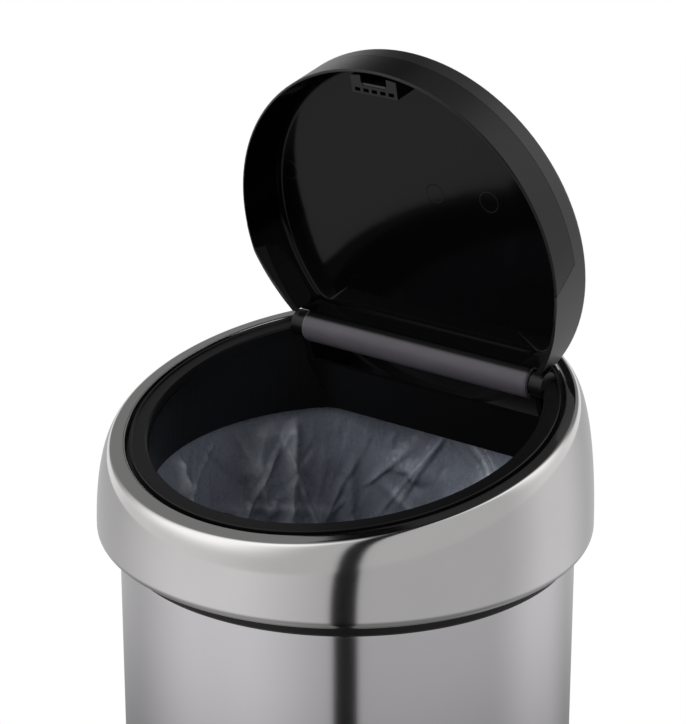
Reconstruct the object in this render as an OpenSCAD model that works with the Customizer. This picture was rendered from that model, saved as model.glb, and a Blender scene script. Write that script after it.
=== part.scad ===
// Countertop touch bin of about three litres.
// A round steel body carries a lift-off top unit: a steel rim ring with a
// slanted opening, a black frame inside it and a black lid that springs open.
// The model stands on z = 0 with the front at -Y and the hinge at +Y.
// It is drawn with the lid open.

/* [Body] */
// Outer diameter of the steel body
body_d = 154; // [140:1:180]
// Height of the body's top edge above the table
body_h = 200; // [160:1:260]
// Thickness of the body's sheet steel
body_wall = 0.8; // [0.6:0.1:1.2]
// Height of the plastic base ring's outer wall
base_ring_h = 9; // [6:0.5:14]
// Wall of the plastic base ring outside the body
base_ring_wall = 1.2; // [0.8:0.1:2]

/* [Rim ring] */
// How far the rim ring stands out from the body
ring_over = 6.8; // [4:0.1:9]
// Slope of the opening, low at the front
ring_tilt = 11.3; // [6:0.1:14]
// Height of the opening's centre above the body's top edge
ring_rise = 46.5; // [42:0.5:56]
// How far the opening's centre lies in front of the body's axis
opening_shift = 2; // [0:0.1:3]
// How far the ring's wall lies in front of the body's axis
wall_shift = 1.2; // [0:0.1:2]
// How far the ring's inner lip lies in from the body's outside
lip_in = 3.2; // [2.6:0.1:4.5]
// Width of the flat slanted face round the lip
face_w = 4; // [2.5:0.1:4.5]
// Sheet thickness of the ring
ring_wall = 0.8; // [0.5:0.1:1]
// Height of the ring's lower edge above the body's top edge
ring_foot = 5; // [4:0.1:7]

/* [Frame] */
// Width of the frame's black band round the mouth
band_w = 5.9; // [5:0.1:6.6]
// Wall of the frame's skirt
frame_wall = 1.5; // [1.2:0.1:2]
// Gap between the frame's band and the steel lip
lip_gap = 1.4; // [0.8:0.1:2]
// How far the skirt's flat back cuts into the round mouth
flat_in = 17.1; // [15:0.1:20]
// Corner radius where the flat back meets the round skirt
flat_corner = 11.4; // [8:0.2:16]
// Height of the skirt's lower edge at the axis, above the body's top edge
skirt_foot = 19.5; // [16:0.5:22]

/* [Lid] */
// Gap between the lid and the mouth
lid_gap = 1.85; // [1.4:0.05:2.5]
// Depth of the lid, from its rim to its top
lid_depth = 18.7; // [16:0.1:20]
// How far the closed lid's rim lies below the opening
lid_sink = 7; // [6.5:0.1:8]
// Depth of the recess in the lid's underside
recess_depth = 15.6; // [12:0.1:16]
// Wall of the lid's outer cover
cover_wall = 1.8; // [1.2:0.1:2.2]
// Angle to which the lid is open, as drawn
lid_open = 90; // [90:90]
// Slight doming of the lid's top
lid_crown = 1; // [0.2:0.1:2]

/* [Hinge] */
// Length of the lid's tail behind the hinge axis
tail_len = 21; // [19:0.1:22]
// Radius of the hinge barrel
barrel_r = 5.8; // [5:0.1:6.2]
// How far the ends of the hinge barrel lie inside the lid's outline
barrel_inset = 0.2; // [0.1:0.05:1]
// Radius of a hinge pin
pin_r = 2; // [1.5:0.1:2.4]
// Length of a hinge pin
pin_len = 32; // [24:1:40]
// Wire radius of the lid's torsion springs
lid_wire_r = 0.4; // [0.3:0.05:0.5]
// Coils of a torsion spring
lid_coils = 7; // [4:1:9]

/* [Latch] */
// Width of the latch block under the lid
block_w = 18.4; // [16:0.2:22]
// Width of the latch housing
housing_w = 22; // [20:0.5:26]
// Travel of the latch plunger
latch_travel = 2.5; // [1.5:0.1:2.5]
// Wire radius of the latch spring
latch_wire_r = 0.25; // [0.15:0.05:0.3]
// Coils of the latch spring
latch_coils = 6; // [4:1:8]

/* [Inner bucket and bag] */
// Gap between the bucket's rolled rim and the collar
bucket_gap = 1.7; // [1.5:0.1:2.5]
// Wall of the bucket
bucket_wall = 1.2; // [1:0.1:1.8]
// Height of the bucket's rim above the body's top edge
bucket_rise = 21; // [15:0.5:22]
// Draft of the bucket's wall, from rim to floor
bucket_draft = 4; // [1:0.5:8]
// Thickness of the bag's folded film
bag_film = 0.5; // [0.3:0.1:0.6]
// How far the bag hangs in from the bucket's wall
bag_slack = 4; // [1:0.5:8]

/* [Hidden] */
$fn = 96;

steel = [0.72, 0.72, 0.73];
black = [0.05, 0.05, 0.055];
soft_black = [0.09, 0.09, 0.1];
spring_steel = [0.5, 0.5, 0.52];

eps = 0.01;
big = 400;

// Body
body_r = body_d / 2;
shell_in_r = body_r - body_wall;
shell_foot = 3;
hem_r = 0.9;
plate_z = 6;
plate_t = 0.6;
base_fit = 0.05;
grip_h = 1;
grip_w = 4;
grip_r = body_r - 5;

// Opening: its centre and its slope
opening_y = -opening_shift * cos(ring_tilt);
opening_z = body_h + ring_rise - opening_shift * sin(ring_tilt);
lip_r = body_r - lip_in;
lip_hem = 2;
face_r = lip_r + face_w;
ring_r = body_r + ring_over;
ring_low_z = body_h + ring_foot;
roll_h = 3.5;
roll_w = 3.6;
ring_steps = 96;
wall_steps = 9;
roll_steps = 4;

// Frame and collar
band_r = lip_r - lip_gap;
mouth_r = band_r - band_w;
skirt_r = mouth_r + frame_wall;
flat_y = mouth_r - flat_in;
ledge_r = lip_r + 1.8;
ledge_z = -lip_hem - 0.4;
ledge_t = 1.6;
collar_fit = 0.1;
collar_plug = 12;
plug_r = shell_in_r - hem_r - collar_fit - 0.3;
plug_in_r = plug_r - 1.6;
flange_z = ring_low_z + ring_wall + 0.05;
flange_t = 2.4;
flange_r = ring_r - ring_wall - 0.8;
rib_t = 1.6;
rib_count = 12;
rib_in_r = plug_in_r + 0.1;
rib_out_r = rib_in_r + 2.6;
skirt_slope = 2.3;

// Lid
lid_r = mouth_r - lid_gap;
rim_z = -lid_sink;
top_z = rim_z + lid_depth;
cover_in_z = top_z - cover_wall;
seam_z = rim_z + lid_depth * 0.625;
seam_gap = 0.15;
snap_fit = 0.1;
cover_in_r = lid_r - cover_wall;
panel_z = rim_z + recess_depth;
rim_in_r = lid_r - 0.8;
recess_r = lid_r - 3.6;
recess_draft = (rim_in_r - recess_r) / (recess_depth - 2.4);
recess_fillet = 2.4;
edge_in_z = rim_z + (rim_in_r - cover_in_r) / recess_draft;
hinge_back = lid_r - tail_len;
chord_y = hinge_back - barrel_r - 0.4;
chord_wall = 1.5;
tail_skirt_z = top_z - 6.5;
ramp_start = 12;
ramp_angle = 8.8;

// Hinge
barrel_len = 2 * (sqrt(lid_r * lid_r - hinge_back * hinge_back) - barrel_inset);
ear_r = 4.6;
ear_len = 5;
ear_gap = 0.4;
barrel_edge = 0.9;
ear_in = barrel_len / 2 + ear_gap;
notch_r = barrel_r + 0.8;
pin_fit = 0.05;
pin_end = ear_in + 4.1;
pocket_r = 4.5;
pocket_len = 9;
lid_coil_r = pin_r + 1.4;
bay_r = sqrt(tail_len * tail_len + (top_z + lid_crown) * (top_z + lid_crown)) + 1.1;
bay_wall = 1.4;
bay_half = ear_in;
bay_back_r = lip_r - 2.6;
tail_half = bay_half - 0.7;
lip_back = hinge_back - 1;
lip_low = 14;

// Latch, on an upright axis
latch_in = 6.25;
latch_y = opening_y - lid_r + latch_in;
shoulder_z = opening_z - 21.9;
stem_w = 9;
stem_front = 2.2;
stem_back = 1.8;
stem_h = 4.4;
housing_top = shoulder_z - 1.3;
spring_seat = shoulder_z - stem_h - latch_travel - 1.2;
housing_foot = spring_seat - 1.6;
housing_in_y = latch_y + 3.4;
housing_out_y = -sqrt(mouth_r * mouth_r - housing_w * housing_w / 4) + 0.1;
shelf_t = 1.6;
head_w = 7.6;
head_t = 0.8;
head_y = latch_y + 0.2;
head_top = shoulder_z + 4.3;
eye_w = 4;
eye_low = shoulder_z + 2.3;
eye_h = 1.4;
spring_pocket_r = 1.7;
latch_coil_r = 1.35;
stem_fit = 0.1;
screw_r = 1.1;
screw_x = housing_w / 2 - 2.8;
screw_head_r = 2.1;
screw_head_h = 1.2;
screw_len = 6;

// Latch block under the lid, measured forward from the opening's centre
block_back = lid_r - 8.65;
block_front = cover_in_r - snap_fit;
cell_back = lid_r - 4.75;
tongue_back = cell_back - 1;
tongue_w = 9.2;
cells = 5;
cell_w = 2.2;

// Bucket and bag
bucket_top = body_h + bucket_rise;
bucket_r = plug_in_r - bucket_gap;
bucket_out_r = bucket_r - 1.2;
bucket_in_r = bucket_out_r - bucket_wall;
bucket_floor = plate_z + plate_t + 0.3;
bead_r = 1.2;
bag_fit = 0.3;
bag_fold = 24;

// Places children in the slanted frame of the opening
module in_opening() {
    translate([0, opening_y, opening_z])
        rotate([ring_tilt, 0, 0])
            children();
}

// Takes children from the closed lid's place to the drawn, open one
module in_lid() {
    in_opening()
        translate([0, hinge_back, 0])
            rotate([-lid_open, 0, 0])
                translate([0, -hinge_back, 0])
                    children();
}

// A tube between two radii and two heights
module ring_solid(r_in, r_out, z0, z1) {
    translate([0, 0, z0])
        difference() {
            cylinder(r = r_out, h = z1 - z0);
            translate([0, 0, -1])
                cylinder(r = r_in, h = z1 - z0 + 2);
        }
}

// A cylinder along X, from x0 to x1
module bar_x(r, x0, x1) {
    translate([x0, 0, 0])
        rotate([0, 90, 0])
            cylinder(r = r, h = x1 - x0);
}

// A box between two corners
module span_box(a, b) {
    translate(a)
        cube(b - a);
}

// ---------------------------------------------------------------- body

module body_shell() {
    color(steel) {
        ring_solid(shell_in_r, body_r, shell_foot, body_h);
        // rolled hem inside the top edge
        translate([0, 0, body_h - hem_r])
            rotate_extrude()
                translate([shell_in_r - 0.3, 0])
                    circle(r = hem_r - 0.1, $fn = 24);
        // turned-in foot that carries the base plate
        ring_solid(body_r - 4, body_r - body_wall / 2, shell_foot, shell_foot + body_wall);
    }
}

module base_plate() {
    color(steel)
        rotate_extrude()
            polygon([
                [0, plate_z],
                [body_r - 9, plate_z],
                [body_r - 7, shell_foot + body_wall + base_fit],
                [shell_in_r - base_fit, shell_foot + body_wall + base_fit],
                [shell_in_r - base_fit, shell_foot + body_wall + base_fit + plate_t],
                [body_r - 6.7, shell_foot + body_wall + base_fit + plate_t],
                [body_r - 8.7, plate_z + plate_t],
                [0, plate_z + plate_t]
            ]);
}

module base_ring() {
    wall_r = body_r + base_ring_wall;
    color(black)
        rotate_extrude()
            polygon([
                [body_r - 11, grip_h],
                [grip_r - grip_w / 2, grip_h],
                [grip_r - grip_w / 2, grip_h + 0.8],
                [grip_r + grip_w / 2, grip_h + 0.8],
                [grip_r + grip_w / 2, grip_h - 0.6],
                [wall_r - 1, grip_h - 0.6],
                [wall_r, grip_h + 0.6],
                [wall_r, base_ring_h - 0.5],
                [wall_r - 0.5, base_ring_h],
                [body_r + base_fit, base_ring_h],
                [body_r + base_fit, shell_foot - base_fit],
                [body_r - 11, shell_foot - base_fit]
            ]);
}

module non_slip_ring() {
    fit = 0.05;
    color(soft_black)
        ring_solid(grip_r - grip_w / 2 + fit, grip_r + grip_w / 2 - fit, 0, grip_h + 0.8 - fit);
}

// ------------------------------------------------------------ rim ring

// A point of the slanted face: radius and height above the opening
function slant(r, z, a, shift = 0) = [
    r * sin(a),
    opening_y - (r * cos(a) + shift) * cos(ring_tilt) - z * sin(ring_tilt),
    opening_z - (r * cos(a) + shift) * sin(ring_tilt) + z * cos(ring_tilt)
];

// A point of the ring's upright wall
function upright(r, z, a) = [r * sin(a), -r * cos(a) - wall_shift, z];

// The wall swells from the slanted face's edge to the largest diameter
function swell(top, low, t) = [
    top[0] + (low[0] - top[0]) * sin(t),
    top[1] + (low[1] - top[1]) * sin(t),
    low[2] + (top[2] - low[2]) * cos(t)
];

// The lower edge rolls in under the wall
function roll(low, foot, t) = [
    foot[0] + (low[0] - foot[0]) * cos(t),
    foot[1] + (low[1] - foot[1]) * cos(t),
    low[2] + (foot[2] - low[2]) * sin(t)
];

// One cut through the sheet at angle a, outside down and inside up
function ring_cut(a) = let(
    face = slant(face_r, 0, a, wall_shift / 2),
    back = slant(face_r - 0.2, -ring_wall, a, wall_shift / 2),
    low = upright(ring_r, ring_low_z + roll_h, a),
    low_in = upright(ring_r - ring_wall, ring_low_z + roll_h, a),
    foot = upright(ring_r - roll_w, ring_low_z, a),
    foot_in = upright(ring_r - roll_w, ring_low_z + ring_wall, a)
) concat(
    [
        slant(lip_r + ring_wall, -lip_hem, a),
        slant(lip_r, -lip_hem, a),
        slant(lip_r, -0.7, a),
        slant(lip_r + 0.2, -0.2, a),
        slant(lip_r + 0.7, 0, a)
    ],
    [for (i = [0:wall_steps]) swell(face, low, 90 * i / wall_steps)],
    [for (i = [1:roll_steps]) roll(low, foot, 90 * i / roll_steps)],
    [for (i = [roll_steps:-1:1]) roll(low_in, foot_in, 90 * i / roll_steps)],
    [for (i = [wall_steps:-1:0]) swell(back, low_in, 90 * i / wall_steps)],
    [slant(lip_r + ring_wall, -ring_wall, a)]
);

// Joins a closed row of equal cuts into one solid
module loop_solid(cuts) {
    n = len(cuts);
    m = len(cuts[0]);
    polyhedron(
        points = [for (cut = cuts) each cut],
        faces = [
            for (i = [0:n - 1])
                for (j = [0:m - 1])
                    let(i2 = (i + 1) % n, j2 = (j + 1) % m)
                        each [
                            [i * m + j, i * m + j2, i2 * m + j2],
                            [i * m + j, i2 * m + j2, i2 * m + j]
                        ]
        ]
    );
}

module rim_ring() {
    color(steel)
        loop_solid([for (i = [0:ring_steps - 1]) ring_cut(360 * i / ring_steps)]);
}

// ----------------------------------------------------- frame and collar

// Corner of the flat back: its centre, and the direction where it meets the round
corner_y = flat_y - flat_corner;
corner_x = sqrt(pow(mouth_r - flat_corner, 2) - corner_y * corner_y);
corner_a = atan2(corner_y, corner_x);

// Flat back of the skirt: it leans from the lip below the hinge to the lower edge
lip_y = opening_y + lip_back * cos(ring_tilt) + lip_low * sin(ring_tilt);
lip_z = opening_z + lip_back * sin(ring_tilt) - lip_low * cos(ring_tilt);
flat_z = body_h + skirt_foot + flat_y * tan(skirt_slope);
lean_len = norm([flat_y - lip_y, lip_z - flat_z]);
lean_a = atan2(flat_y - lip_y, lip_z - flat_z);

// Points of an arc after its first one
function arc(centre, r, from, to, n) =
    [for (i = [1:n]) let(a = from + (to - from) * i / n) centre + r * [cos(a), sin(a)]];

// Outline of the mouth: round in front, with a flat back between rounded corners
function mouth_outline(grow) = concat(
    arc([0, 0], mouth_r + grow, 180 - corner_a, 360 + corner_a, 84),
    arc([corner_x, corner_y], flat_corner + grow, corner_a, 90, 8),
    arc([-corner_x, corner_y], flat_corner + grow, 90, 180 - corner_a, 8)
);

// Everything behind the middle of the leaning flat's wall, up to a length along it
module behind_flat(top) {
    translate([0, flat_y, flat_z])
        rotate([lean_a, 0, 0])
            translate([-big / 2, frame_wall / 2, top - big])
                cube([big, big, big]);
}

// Everything above the skirt's slanting lower edge
module above_skirt_foot() {
    translate([0, 0, body_h + skirt_foot])
        rotate([skirt_slope, 0, 0])
            translate([-big / 2, -big / 2, 0])
                cube([big, big, big]);
}

// Everything under a height of the slanted frame
module below_slant(z) {
    in_opening()
        translate([-big / 2, -big / 2, z - big])
            cube([big, big, big]);
}

// The space that the lid's tail swings through behind the hinge
module bay_space() {
    in_opening()
        intersection() {
            translate([0, hinge_back, 0])
                bar_x(bay_r, -bay_half, bay_half);
            union() {
                cylinder(r = bay_back_r, h = big, center = true);
                translate([0, 0, -3])
                    cylinder(r = lip_r - 0.6, h = big);
            }
            union() {
                span_box([-big, lip_back, -big], [big, big, 1]);
                span_box([-big, lip_back - 12, -lip_low], [big, big, 1]);
            }
        }
}

module frame_band() {
    in_opening()
        rotate_extrude()
            polygon([
                [mouth_r, ledge_z - ledge_t],
                [mouth_r, -0.9],
                [mouth_r + 0.6, -0.3],
                [band_r - 1.2, -0.3],
                [band_r - 0.8, 0.2],
                [band_r - 0.2, 0.2],
                [band_r, -0.1],
                [band_r, ledge_z],
                [ledge_r, ledge_z],
                [ledge_r, ledge_z - ledge_t]
            ]);
}

// Upright wall along the mouth's outline
module skirt_tube(z0, z1) {
    translate([0, 0, z0])
        linear_extrude(height = z1 - z0)
            difference() {
                polygon(mouth_outline(frame_wall));
                polygon(mouth_outline(0));
            }
}

// The leaning flat back, from below its lower edge up to the lip
module leaning_flat() {
    below = 4;
    intersection() {
        translate([0, flat_y, flat_z])
            rotate([90 + lean_a, 0, 0])
                translate([0, 0, -frame_wall])
                    linear_extrude(height = frame_wall)
                        polygon([
                            [-corner_x - 3, -below],
                            [corner_x + 3, -below],
                            [skirt_r, flat_corner],
                            [skirt_r, lean_len],
                            [-skirt_r, lean_len],
                            [-skirt_r, flat_corner]
                        ]);
        cylinder(r = mouth_r + frame_wall / 2, h = big);
        above_skirt_foot();
    }
}

module frame_skirt() {
    intersection() {
        difference() {
            skirt_tube(housing_foot - shelf_t, body_h + 2 * ring_rise);
            behind_flat(lean_len);
        }
        union() {
            above_skirt_foot();
            // apron that carries the shelf of the latch
            span_box([-housing_w / 2 - 1, -big, housing_foot - shelf_t],
                     [housing_w / 2 + 1, housing_in_y, body_h + ring_rise]);
        }
        below_slant(ledge_z - ledge_t / 2);
    }
}

// Trough behind the hinge that takes the swinging tail of the lid
module frame_bay() {
    difference() {
        intersection() {
            in_opening()
                intersection() {
                    translate([0, hinge_back, 0])
                        bar_x(bay_r + bay_wall, -bay_half - 2, bay_half + 2);
                    cylinder(r = bay_back_r + bay_wall, h = 4 * bay_r, center = true);
                    span_box([-big, 0, -big], [big, big, ledge_z - 0.2]);
                }
            behind_flat(big / 2);
        }
        bay_space();
    }
}

module frame_ears() {
    in_opening()
        intersection() {
            translate([0, hinge_back, 0]) {
                bar_x(ear_r, -ear_in - ear_len, -ear_in);
                bar_x(ear_r, ear_in, ear_in + ear_len);
            }
            cylinder(r = band_r - 0.1, h = 4 * ear_r, center = true);
        }
}

// Upright ribs that stand the frame on the collar, stepped round the bucket's rim
module frame_ribs() {
    step_z = bucket_top + 3;
    intersection() {
        for (i = [0:rib_count - 1])
            rotate([0, 0, 360 * (i + 0.5) / rib_count]) {
                span_box([-rib_t / 2, rib_in_r, flange_z + flange_t], [rib_t / 2, rib_out_r, step_z + rib_t]);
                span_box([-rib_t / 2, skirt_r - 0.2, step_z], [rib_t / 2, rib_out_r, body_h + 2 * ring_rise]);
            }
        below_slant(ledge_z - ledge_t / 2);
        in_opening()
            union() {
                cylinder(r = ledge_r, h = 4 * ring_rise, center = true);
                translate([0, 0, -4 * ring_rise - 12])
                    cylinder(r = 2 * ledge_r, h = 4 * ring_rise);
            }
    }
}

// Shelf at the front that carries the latch
module latch_shelf() {
    intersection() {
        span_box([-housing_w / 2 - 1, -big, housing_foot - shelf_t],
                 [housing_w / 2 + 1, housing_in_y, housing_foot]);
        cylinder(r = mouth_r + frame_wall / 2, h = big);
    }
}

module top_frame() {
    color(black)
        difference() {
            union() {
                difference() {
                    union() {
                        frame_band();
                        frame_skirt();
                        frame_ribs();
                    }
                    bay_space();
                }
                leaning_flat();
                frame_bay();
                latch_shelf();
                frame_ears();
            }
            // bores for the hinge pins
            in_opening()
                translate([0, hinge_back, 0])
                    bar_x(pin_r + 0.02, -pin_end - 0.1, pin_end + 0.1);
            // holes for the fixed legs of the torsion springs
            in_opening()
                translate([0, hinge_back, -lid_coil_r])
                    bar_x(lid_wire_r + 0.1, -ear_in - 2.2, ear_in + 2.2);
            // holes for the screws of the latch
            for (side = [-1, 1])
                translate([side * screw_x, latch_y, housing_foot - shelf_t - 1])
                    cylinder(r = screw_r + 0.15, h = shelf_t + 2);
        }
}

module collar() {
    color(black) {
        rotate_extrude()
            polygon([
                [plug_in_r, body_h - collar_plug],
                [plug_r - 0.4, body_h - collar_plug],
                [plug_r, body_h - collar_plug + 1],
                [plug_r, body_h + 0.05],
                [body_r - 0.1, body_h + 0.05],
                [body_r + 0.3, body_h + 0.5],
                [body_r + 0.3, flange_z + flange_t],
                [plug_in_r, flange_z + flange_t]
            ]);
        // flange that sits on the ring's turned-in foot
        translate([0, -wall_shift, 0])
            rotate_extrude()
                polygon([
                    [body_r - 1, flange_z],
                    [ring_r - roll_w + 0.2, flange_z],
                    [flange_r, flange_z + 1.6],
                    [flange_r, flange_z + flange_t],
                    [body_r - 1, flange_z + flange_t]
                ]);
    }
}

// --------------------------------------------------------------- hinge

// A round wire swept along points, each with its own pair of cross directions
module wire(points, sides_a, sides_b, r, sides = 6) {
    n = len(points);
    rings = [
        for (i = [0:n - 1])
            [for (k = [0:sides - 1])
                points[i] + r * (cos(360 * k / sides) * sides_a[i] + sin(360 * k / sides) * sides_b[i])]
    ];
    polyhedron(
        points = [for (ring = rings) each ring],
        faces = concat(
            [[for (k = [0:sides - 1]) k]],
            [
                for (i = [0:n - 2])
                    for (k = [0:sides - 1])
                        let(k2 = (k + 1) % sides)
                            each [
                                [i * sides + k, (i + 1) * sides + k, (i + 1) * sides + k2],
                                [i * sides + k, (i + 1) * sides + k2, i * sides + k2]
                            ]
            ],
            [[for (k = [sides - 1:-1:0]) (n - 1) * sides + k]]
        )
    );
}

// A coil spring along Z with a straight leg at each end
module coil_spring(coil_r, wire_r, z0, z1, turns, leg0, leg1, start = 0) {
    per_turn = 12;
    steps = turns * per_turn;
    pitch = z1 - z0;
    along = [for (i = [0:steps]) i / steps];
    angles = [for (t = along) start + 360 * turns * t];
    mid = [for (i = [0:steps]) [coil_r * cos(angles[i]), coil_r * sin(angles[i]), z0 + pitch * along[i]]];
    out = [for (a = angles) [cos(a), sin(a), 0]];
    end_angle = start + 360 * turns;
    around = [for (a = angles) [-sin(a), cos(a), 0]];
    rise = pitch / (2 * PI * coil_r * turns);
    lean = [for (i = [0:steps]) let(v = cross([-sin(angles[i]), cos(angles[i]), rise], out[i])) v / norm(v)];
    points = concat(
        [[coil_r * cos(start), coil_r * sin(start), z0 - leg0]],
        [[coil_r * cos(start), coil_r * sin(start), z0 - 2 * wire_r]],
        [for (i = [1:steps - 1]) mid[i]],
        [[coil_r * cos(end_angle), coil_r * sin(end_angle), z1 + 2 * wire_r]],
        [[coil_r * cos(end_angle), coil_r * sin(end_angle), z1 + leg1]]
    );
    side_a = concat([out[0], out[0]], [for (i = [1:steps - 1]) out[i]], [out[steps], out[steps]]);
    side_b = concat(
        [around[0], around[0]],
        [for (i = [1:steps - 1]) lean[i]],
        [around[steps], around[steps]]
    );
    wire(points, side_a, side_b, wire_r);
}

module hinge_pin(side) {
    color(spring_steel)
        in_opening()
            translate([0, hinge_back, 0])
                bar_x(pin_r, side > 0 ? pin_end - pin_len : -pin_end, side > 0 ? pin_end : pin_len - pin_end);
}

module hinge_pin_left() {
    hinge_pin(-1);
}

module hinge_pin_right() {
    hinge_pin(1);
}

// The torsion spring sits round the pin in the end of the barrel
module lid_spring(side) {
    length = pocket_len - 1.6;
    color(spring_steel)
        in_opening()
            translate([side * (barrel_len / 2 - 0.5), hinge_back, 0])
                rotate([0, -side * 90, 0])
                    coil_spring(lid_coil_r, lid_wire_r, 0.9, length, lid_coils,
                                ear_gap + 3.2, 0.9, side > 0 ? 180 : 0);
}

module lid_spring_left() {
    lid_spring(-1);
}

module lid_spring_right() {
    lid_spring(1);
}

// --------------------------------------------------------------- latch

module latch_housing() {
    color(soft_black)
        difference() {
            span_box([-housing_w / 2, housing_out_y, housing_foot],
                     [housing_w / 2, housing_in_y, housing_top]);
            // guide for the plunger's stem
            span_box([-stem_w / 2 - stem_fit, latch_y - stem_front - stem_fit, spring_seat],
                     [stem_w / 2 + stem_fit, latch_y + stem_back + stem_fit, housing_top + 1]);
            // screw holes
            for (side = [-1, 1])
                translate([side * screw_x, latch_y, housing_foot - 1])
                    cylinder(r = screw_r + 0.02, h = screw_len + 1.2 - shelf_t);
        }
}

module latch_screws() {
    color(spring_steel)
        for (side = [-1, 1])
            translate([side * screw_x, latch_y, housing_foot - shelf_t - screw_head_h])
                difference() {
                    union() {
                        cylinder(r = screw_head_r, h = screw_head_h);
                        cylinder(r = screw_r, h = screw_head_h + screw_len);
                    }
                    // cross recess
                    for (turn = [0, 90])
                        rotate([0, 0, turn])
                            span_box([-1.2, -0.25, -1], [1.2, 0.25, 0.6]);
                }
}

module latch_plunger() {
    color(black)
        difference() {
            union() {
                span_box([-stem_w / 2, latch_y - stem_front, shoulder_z - stem_h],
                         [stem_w / 2, latch_y + stem_back, shoulder_z]);
                span_box([-head_w / 2, head_y - head_t / 2, shoulder_z - eps],
                         [head_w / 2, head_y + head_t / 2, head_top]);
            }
            // pocket for the spring
            translate([0, latch_y - 0.2, shoulder_z - stem_h - 1])
                cylinder(r = spring_pocket_r, h = stem_h);
            // eye in the claw
            span_box([-eye_w / 2, head_y - head_t, eye_low], [eye_w / 2, head_y + head_t, eye_low + eye_h]);
        }
}

module latch_spring() {
    color(spring_steel)
        translate([0, latch_y - 0.2, 0])
            coil_spring(latch_coil_r, latch_wire_r, spring_seat + 0.7, shoulder_z - 1.7,
                        latch_coils, 0.65, 0.6);
}

// ----------------------------------------------------------------- lid

// Cuts the rim shorter towards the hinge, so that it clears the frame
module rim_ramp() {
    translate([0, ramp_start, rim_z])
        rotate([ramp_angle, 0, 0])
            translate([-big / 2, 0, -big])
                cube([big, big, big]);
}

// Room for the frame's ears at the barrel's two ends
module ear_notches() {
    translate([0, hinge_back, 0]) {
        bar_x(notch_r, -big / 4, -barrel_len / 2);
        bar_x(notch_r, barrel_len / 2, big / 4);
    }
}

// The part of the side wall that belongs to the liner: low and in front
module liner_side(grow) {
    rotate([90, 0, 90])
        translate([0, 0, -big / 2])
            linear_extrude(height = big)
                polygon([
                    [-big / 2, rim_z - 20],
                    [4.4 + 12 + grow, rim_z - 20],
                    [4.4 + grow, rim_z],
                    [-2.5 + grow, seam_z + grow],
                    [-big / 2, seam_z + grow]
                ]);
}

module lid_cap() {
    crown_steps = 8;
    edge = 1.6;
    color(black)
        in_lid()
            difference() {
                rotate_extrude()
                    polygon(concat(
                        [[cover_in_r, edge_in_z], [rim_in_r, rim_z], [lid_r - 0.4, rim_z], [lid_r, rim_z + 0.4]],
                        [for (i = [0:4]) [
                            lid_r - edge + edge * cos(22.5 * i),
                            top_z - edge + edge * sin(22.5 * i)
                        ]],
                        [for (i = [1:crown_steps]) let(t = 1 - i / crown_steps) [
                            (lid_r - edge) * t,
                            top_z + lid_crown * (1 - t * t)
                        ]],
                        [[0, cover_in_z + 0.05], [cover_in_r, cover_in_z + 0.05]]
                    ));
                liner_side(seam_gap);
                rim_ramp();
                ear_notches();
                // behind the hinge only a short skirt is left
                span_box([-big / 2, hinge_back - 4, -big / 2], [big / 2, big / 2, tail_skirt_z]);
                // the tail is a little narrower than the bay it swings into
                for (side = [-1, 1])
                    scale([side, 1, 1])
                        span_box([tail_half, hinge_back - 1.2, -big / 2], [big / 2, big / 2, big / 2]);
            }
}

module liner_body() {
    fillet = [for (i = [0:4]) [
        recess_r - recess_fillet + recess_fillet * cos(22.5 * i),
        panel_z - recess_fillet + recess_fillet * sin(22.5 * i)
    ]];
    rotate_extrude()
        polygon(concat(
            [
                [lid_r, seam_z],
                [lid_r, rim_z + 0.5],
                [lid_r - 0.5, rim_z],
                [rim_in_r, rim_z]
            ],
            fillet,
            [[0, panel_z], [0, cover_in_z], [cover_in_r - snap_fit, cover_in_z], [cover_in_r - snap_fit, seam_z]]
        ));
}

module barrel() {
    half = barrel_len / 2;
    rotate([0, 90, 0])
        rotate_extrude()
            polygon([
                [0, -half],
                [barrel_r - barrel_edge, -half],
                [barrel_r - 0.27 * barrel_edge, -half + 0.27 * barrel_edge],
                [barrel_r, -half + barrel_edge],
                [barrel_r, half - barrel_edge],
                [barrel_r - 0.27 * barrel_edge, half - 0.27 * barrel_edge],
                [barrel_r - barrel_edge, half],
                [0, half]
            ]);
}

module latch_block() {
    difference() {
        intersection() {
            span_box([-block_w / 2, -block_front, rim_z + 0.2], [block_w / 2, -block_back, cover_in_z - 0.5]);
            cylinder(r = block_front, h = big, center = true);
        }
        // cell for the plunger's head
        span_box([-tongue_w / 2 - 0.6, -big, rim_z - 1], [tongue_w / 2 + 0.6, -cell_back, panel_z - 4]);
        // slot that holds the strike
        span_box([-tongue_w / 2, -cell_back - eps, rim_z - 1], [tongue_w / 2, -tongue_back, panel_z - 4]);
        // ribbed back
        for (i = [0:cells - 1])
            translate([(i - (cells - 1) / 2) * block_w / (cells + 0.4), 0, 0])
                span_box([-cell_w / 2, -tongue_back + 0.9, rim_z - 1], [cell_w / 2, -block_back - 0.7, panel_z - 2]);
    }
}

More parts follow.
